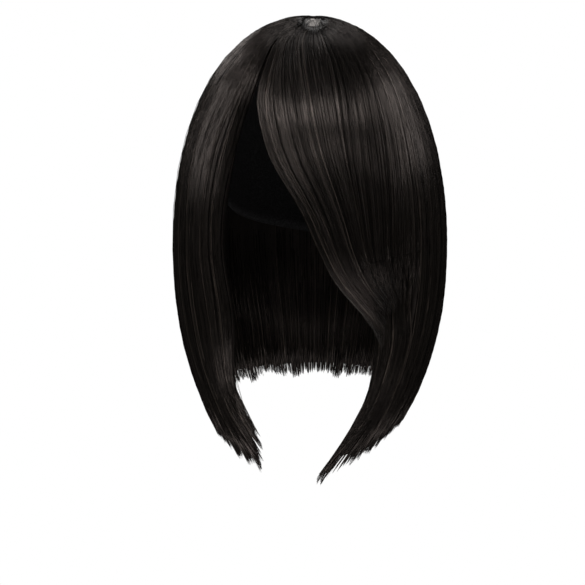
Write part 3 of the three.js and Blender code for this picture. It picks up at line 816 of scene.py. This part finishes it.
def under_hair(section, columns=96, rows=34):
    """The wall of a section, sunk under its outer face and short of its ends."""
    across = np.linspace(0.004, 0.996, columns)[:, None]
    span = np.interp(across, ACROSS, section["cut"] - section["root"])
    short = WALL_SHORT + 1.1 * section["feather"]
    down = mix(0.45 * section["start"], 1 - short / span, np.linspace(0, 1, rows)[None, :])
    across = np.broadcast_to(across, down.shape)
    thickness = hair_points(section, across, down, 0)[2]
    outer = hair_points(section, across, down, np.minimum(WALL_SUNK, 0.45 * thickness))[0]
    inner = hair_points(section, across, down, np.maximum(thickness - 0.9, 0.62 * thickness))[0]
    flat = np.stack([across, down], axis=-1)
    return wall_mesh(section["name"] + "_under_hair", outer, inner, flat, under_material)


for name, section in SECTIONS.items():
    piece = under_hair(section)
    dress(piece, name)
    print(piece.name, len(piece.data.polygons), "faces")

# %% [markdown]
# ## Combing every section
# The strands go on in four layers, as a stylist would build them up: the outer face with the finest
# curves, some below it that show in the gaps, the inner face of the hair that hangs free, and
# shorter ones that fill out the ends. The fringe also gets the hairs that are planted on the
# parting: those that cross behind, those that fall to both sides, and the fine ones in front.

# %% Strands of each section
for name, section in SECTIONS.items():
    freed = travel_to(section["rests"] + 20)
    free = float(np.mean((freed - section["root"]) / (section["cut"] - section["root"])))
    count, thick = section["strands"], section["thickness"]
    layers = [
        combed(section, int(0.5 * count), 18, 0, 0.6, stray=0.012),
        combed(section, int(0.18 * count), 14, 0.5, thick),
        # The inner face's strands are painted lighter, as painted light inside the wig.
        combed(section, int(0.14 * count), 9, thick, 2 * thick, (free, free + 0.01), tone=0.55),
        combed(section, int(0.18 * count), 7, 0, 0.7 * thick, (0.55, 0.72)),
    ]
    if name == "fringe":
        behind = planted(120, PARTING_BACK, 6, sideways=100, forwards=78, rising=5, crossing=True)
        beside = planted(50, 0, FILM_SHOWS, sideways=95, forwards=70, rising=5)
        film = FILM_SHOWS - 1, PARTING_FRONT + 4
        before = planted(80, *film, sideways=24, forwards=5, rising=36, radius=0.1)
        layers += [behind, beside, before]
    piece = strand_mesh(name + "_strands", layers)
    piece.data.materials.append(strands_material)
    dress(piece, name)
    print(name, sum(len(layer[0]) for layer in layers), "strands")

# %% [markdown]
# ## The skin top
# The skin top is a slim patch of matt, skin-coloured film under the parting, with the knots of the
# hairs as faint dark dots. It could be cut out of the cap, but its rounded ends are easier to draw
# directly: a strip that narrows at both ends, laid on a form just above the cap's, so that the
# film isn't lost between the roots.

# %% Finish of the film


def skin_finish():
    material, nodes, links, shader = new_material("skin film")
    place = nodes.new("ShaderNodeTexCoord")
    knots = nodes.new("ShaderNodeTexVoronoi")
    knots.inputs["Scale"].default_value = 900
    ramp = colour_ramp(nodes, ((0.1, (0.13, 0.12, 0.11)), (0.3, (0.4, 0.37, 0.345))))
    mottle = nodes.new("ShaderNodeTexNoise")
    mottle.inputs["Scale"].default_value = 260
    bump = nodes.new("ShaderNodeBump")
    bump.inputs["Strength"].default_value = 0.3
    bump.inputs["Distance"].default_value = 0.2 * MM
    links.new(place.outputs["Object"], knots.inputs["Vector"])
    links.new(place.outputs["Object"], mottle.inputs["Vector"])
    links.new(knots.outputs["Distance"], ramp.inputs["Fac"])
    links.new(ramp.outputs["Color"], shader.inputs["Base Color"])
    links.new(mottle.outputs["Fac"], bump.inputs["Height"])
    links.new(bump.outputs["Normal"], shader.inputs["Normal"])
    shader.inputs["Roughness"].default_value = 0.75
    return material


print("the film lies", FILM_LIFT, "mm above the cap")

# %% Film on the parting
FILM_WALL = 2


def skin_patch(columns=12, rows=48):
    """Outer and inner sheet of the film, with a map of both."""
    turn = np.linspace(-1, 1, rows)[None, :]
    along = 0.5 - 0.5 * np.sin(turn * math.pi / 2)
    ahead = mix(PARTING_BACK - SKIN_WIDTH / 2, PARTING_FRONT + SKIN_WIDTH / 2, along)
    beyond = np.maximum(np.maximum(ahead - PARTING_FRONT, PARTING_BACK - ahead), 0)
    half = np.sqrt(np.maximum((SKIN_WIDTH / 2) ** 2 - beyond**2, 0.4))
    x = SKIN_OFFSET + np.linspace(-1, 1, columns)[:, None] * half
    ahead = ahead + 0 * x
    bearing, reach = np.degrees(np.arctan2(x, ahead)), np.hypot(x, ahead)
    sheets = []
    for form in (SKIN, grown(SKIN, -FILM_WALL)):
        sheet = points_at(bearing, reach, depth_at_reach(form, bearing, reach))
        sheets.append(sheet[:, ::-1])
    return sheets, np.stack([x, ahead], axis=-1)


(outer, inner), flat = skin_patch()
dress(wall_mesh("skin_film", outer, inner, flat, skin_finish()), "skin_top")
print("skin top, mm:", SKIN_WIDTH, "by", SKIN_LENGTH)

# %% [markdown]
# ## The stretch cap
# The cap is a fine black net with a bound edge that follows the hairline, dips in front of the
# ears, rises over them and crosses the nape. Threads as geometry would be far too fine to store, so
# a cell pattern in the material gives the holes of the net, and the edge band is real thickness.

# %% Finish of the net
NET_SCALE = 700


def net_finish():
    material, nodes, links, shader = new_material("stretch net")
    place = nodes.new("ShaderNodeTexCoord")
    mesh_holes = nodes.new("ShaderNodeTexVoronoi")
    mesh_holes.feature = "DISTANCE_TO_EDGE"
    mesh_holes.inputs["Scale"].default_value = NET_SCALE
    ramp = colour_ramp(nodes, ((0.04, (0.02, 0.019, 0.02)), (0.16, (0.0035, 0.0033, 0.0035))))
    bump = nodes.new("ShaderNodeBump")
    bump.invert = True
    bump.inputs["Strength"].default_value = 0.7
    bump.inputs["Distance"].default_value = 0.3 * MM
    links.new(place.outputs["Object"], mesh_holes.inputs["Vector"])
    links.new(mesh_holes.outputs["Distance"], ramp.inputs["Fac"])
    links.new(ramp.outputs["Color"], shader.inputs["Base Color"])
    links.new(mesh_holes.outputs["Distance"], bump.inputs["Height"])
    links.new(bump.outputs["Normal"], shader.inputs["Normal"])
    shader.inputs["Roughness"].default_value = 0.85
    shader.inputs["Specular IOR Level"].default_value = 0.2
    return material


print("holes of the net, mm:", round(1 / NET_SCALE / MM, 1))

# %% Cap wall and its edge
RIM_BEARINGS = (0, 26, 48, 62, 74, 88, 108, 135, 180)
RIM_DEPTHS = (49, 51, 66, 90, 116, 100, 108, 136, 150)
EDGE_BAND = 9


def cap_wall(columns=120, rows=30):
    """Outer and inner sheet of the cap, with a map of both."""
    bearing = np.linspace(-180, 180, columns, endpoint=False)[:, None]
    rim = curve_through(RIM_BEARINGS, RIM_DEPTHS, np.abs(bearing))
    share = np.linspace(0.02, 1, rows)[None, :] ** 1.6
    band = 0.5 * smooth(share * rim, rim - EDGE_BAND - 0.5, rim - EDGE_BAND + 0.5)
    sheets = []
    for form, side in ((CAP, 0), (HOLLOW, -1)):
        depth = mix(form["top"], rim, share)
        reach = reach_at(form, bearing, depth) + side * band
        sheets.append(points_at(bearing + 0 * depth, reach, depth))
    flat = np.stack([bearing / 360 + 0.5 + 0 * share, share + 0 * bearing], axis=-1)
    return sheets, flat


(outer, inner), flat = cap_wall()
dress(wall_mesh("net_cap", outer, inner, flat, net_finish(), ring=True), "cap")
print("cap edge band, mm:", EDGE_BAND, " deepest edge, mm down:", RIM_DEPTHS[-1])

# %% [markdown]
# ## Soft light
# Straight fibres mirror light only across their length, so the place of each soft box decides where
# the sheen falls. Two wide boxes above the camera draw the broad sheen over the fringe, and a box
# overhead the glints round the crown, with a dark band between. Strips light the sides, a high box
# the right of the dome, a low card the points, and a box behind the back of the hair. One large
# dome of light would be simpler, but it would grey the hair all over.

# %% Soft boxes
MIDDLE = Vector((0, 0, -0.17))


def soft_box(name, azimuth, elevation, distance, width, height, watts):
    """An area light that faces the hair from a bearing, a height in degrees and a distance."""
    a, e = math.radians(azimuth), math.radians(elevation)
    way = Vector((math.sin(a) * math.cos(e), -math.cos(a) * math.cos(e), math.sin(e)))
    bpy.ops.object.light_add(type="AREA", location=MIDDLE + way * distance)
    light = bpy.context.object
    light.name = name
    light.rotation_euler = way.to_track_quat("Z", "Y").to_euler()
    light.data.shape = "RECTANGLE"
    light.data.size = width
    light.data.size_y = height
    light.data.energy = watts
    return light


soft_box("front_box", 0, 45, 1.3, 0.9, 0.24, 4.7)
soft_box("front_fill", 0, 27, 1.3, 0.9, 0.3, 2.2)
soft_box("low_card", 0, -40, 0.55, 0.8, 0.25, 1.6)
soft_box("top_box", 180, 82, 1.0, 0.7, 0.3, 1)
soft_box("left_strip", 76, 34, 1.2, 0.5, 0.7, 3.3)
soft_box("right_strip", -70, 28, 1.2, 0.35, 0.7, 2.9)
soft_box("right_high_box", -100, 50, 1.1, 0.4, 0.35, 1.8)
soft_box("back_box", 180, 45, 1.3, 0.9, 0.5, 2.5)

# %% [markdown]
# ## Floor and white world
# The wig hangs in the air, as if on a hidden stand, so the floor is only a pale disc well below it.
# All round it is Blender's world, white where the camera sees it. It sheds hardly any light,
# because a bright world would wash out the sheen.

# %% Pale floor
FLOOR_LEVEL, FLOOR_RADIUS, FLOOR_DEPTH = -0.76, 1.1, 0.02
bpy.ops.mesh.primitive_cylinder_add(
    vertices=96, radius=FLOOR_RADIUS, depth=FLOOR_DEPTH, location=(0, 0, FLOOR_LEVEL)
)
floor = bpy.context.object
floor.name = "floor"
floor_material, nodes, links, shader = new_material("pale floor")
place, mottle = nodes.new("ShaderNodeTexCoord"), nodes.new("ShaderNodeTexNoise")
mottle.inputs["Scale"].default_value = 40
ramp = colour_ramp(nodes, ((0.3, (0.8, 0.8, 0.8)), (0.7, (0.86, 0.86, 0.86))))
links.new(place.outputs["Object"], mottle.inputs["Vector"])
links.new(mottle.outputs["Fac"], ramp.inputs["Fac"])
links.new(ramp.outputs["Color"], shader.inputs["Base Color"])
shader.inputs["Roughness"].default_value = 0.9
floor.data.materials.append(floor_material)

# %% White world
WORLD_LIGHT = 0.035
scene = bpy.context.scene
scene.world = bpy.data.worlds.new("studio")
scene.world.use_nodes = True
nodes, links = scene.world.node_tree.nodes, scene.world.node_tree.links
background = nodes["Background"]
background.inputs["Color"].default_value = (1, 1, 1, 1)
background.inputs["Strength"].default_value = WORLD_LIGHT
shown = nodes.new("ShaderNodeBackground")
shown.inputs["Color"].default_value = (1, 1, 1, 1)
shown.inputs["Strength"].default_value = 1
seen = nodes.new("ShaderNodeLightPath")
either = nodes.new("ShaderNodeMixShader")
links.new(seen.outputs["Is Camera Ray"], either.inputs["Fac"])
links.new(background.outputs["Background"], either.inputs[1])
links.new(shown.outputs["Background"], either.inputs[2])
links.new(either.outputs["Shader"], nodes["World Output"].inputs["Surface"])
scene.view_settings.view_transform = "Standard"
print("light of the world:", WORLD_LIGHT)

# %% [markdown]
# ## Camera
# The camera stands about 1.6 metres away, a little to the wearer's left, and looks level from about
# 0.2 metres below the crown. A longer lens from further away would frame the same, but would show
# more of the crown and of the sides.

# %% Camera
AZIMUTH = math.radians(4)
CAMERA_DISTANCE = 1.6
FRAME_WIDTH = 0.427
FRAME_CENTRE = (-0.0128, -0.1958)
right = Vector((math.cos(AZIMUTH), math.sin(AZIMUTH), 0))
back = Vector((math.sin(AZIMUTH), -math.cos(AZIMUTH), 0))
target = right * FRAME_CENTRE[0] + Vector((0, 0, FRAME_CENTRE[1]))
bpy.ops.object.camera_add(location=target + back * CAMERA_DISTANCE)
camera = bpy.context.object
camera.rotation_euler = back.to_track_quat("Z", "Y").to_euler()
camera.data.lens = camera.data.sensor_width * CAMERA_DISTANCE / FRAME_WIDTH
scene.camera = camera
print("camera lens, mm:", round(camera.data.lens, 1))
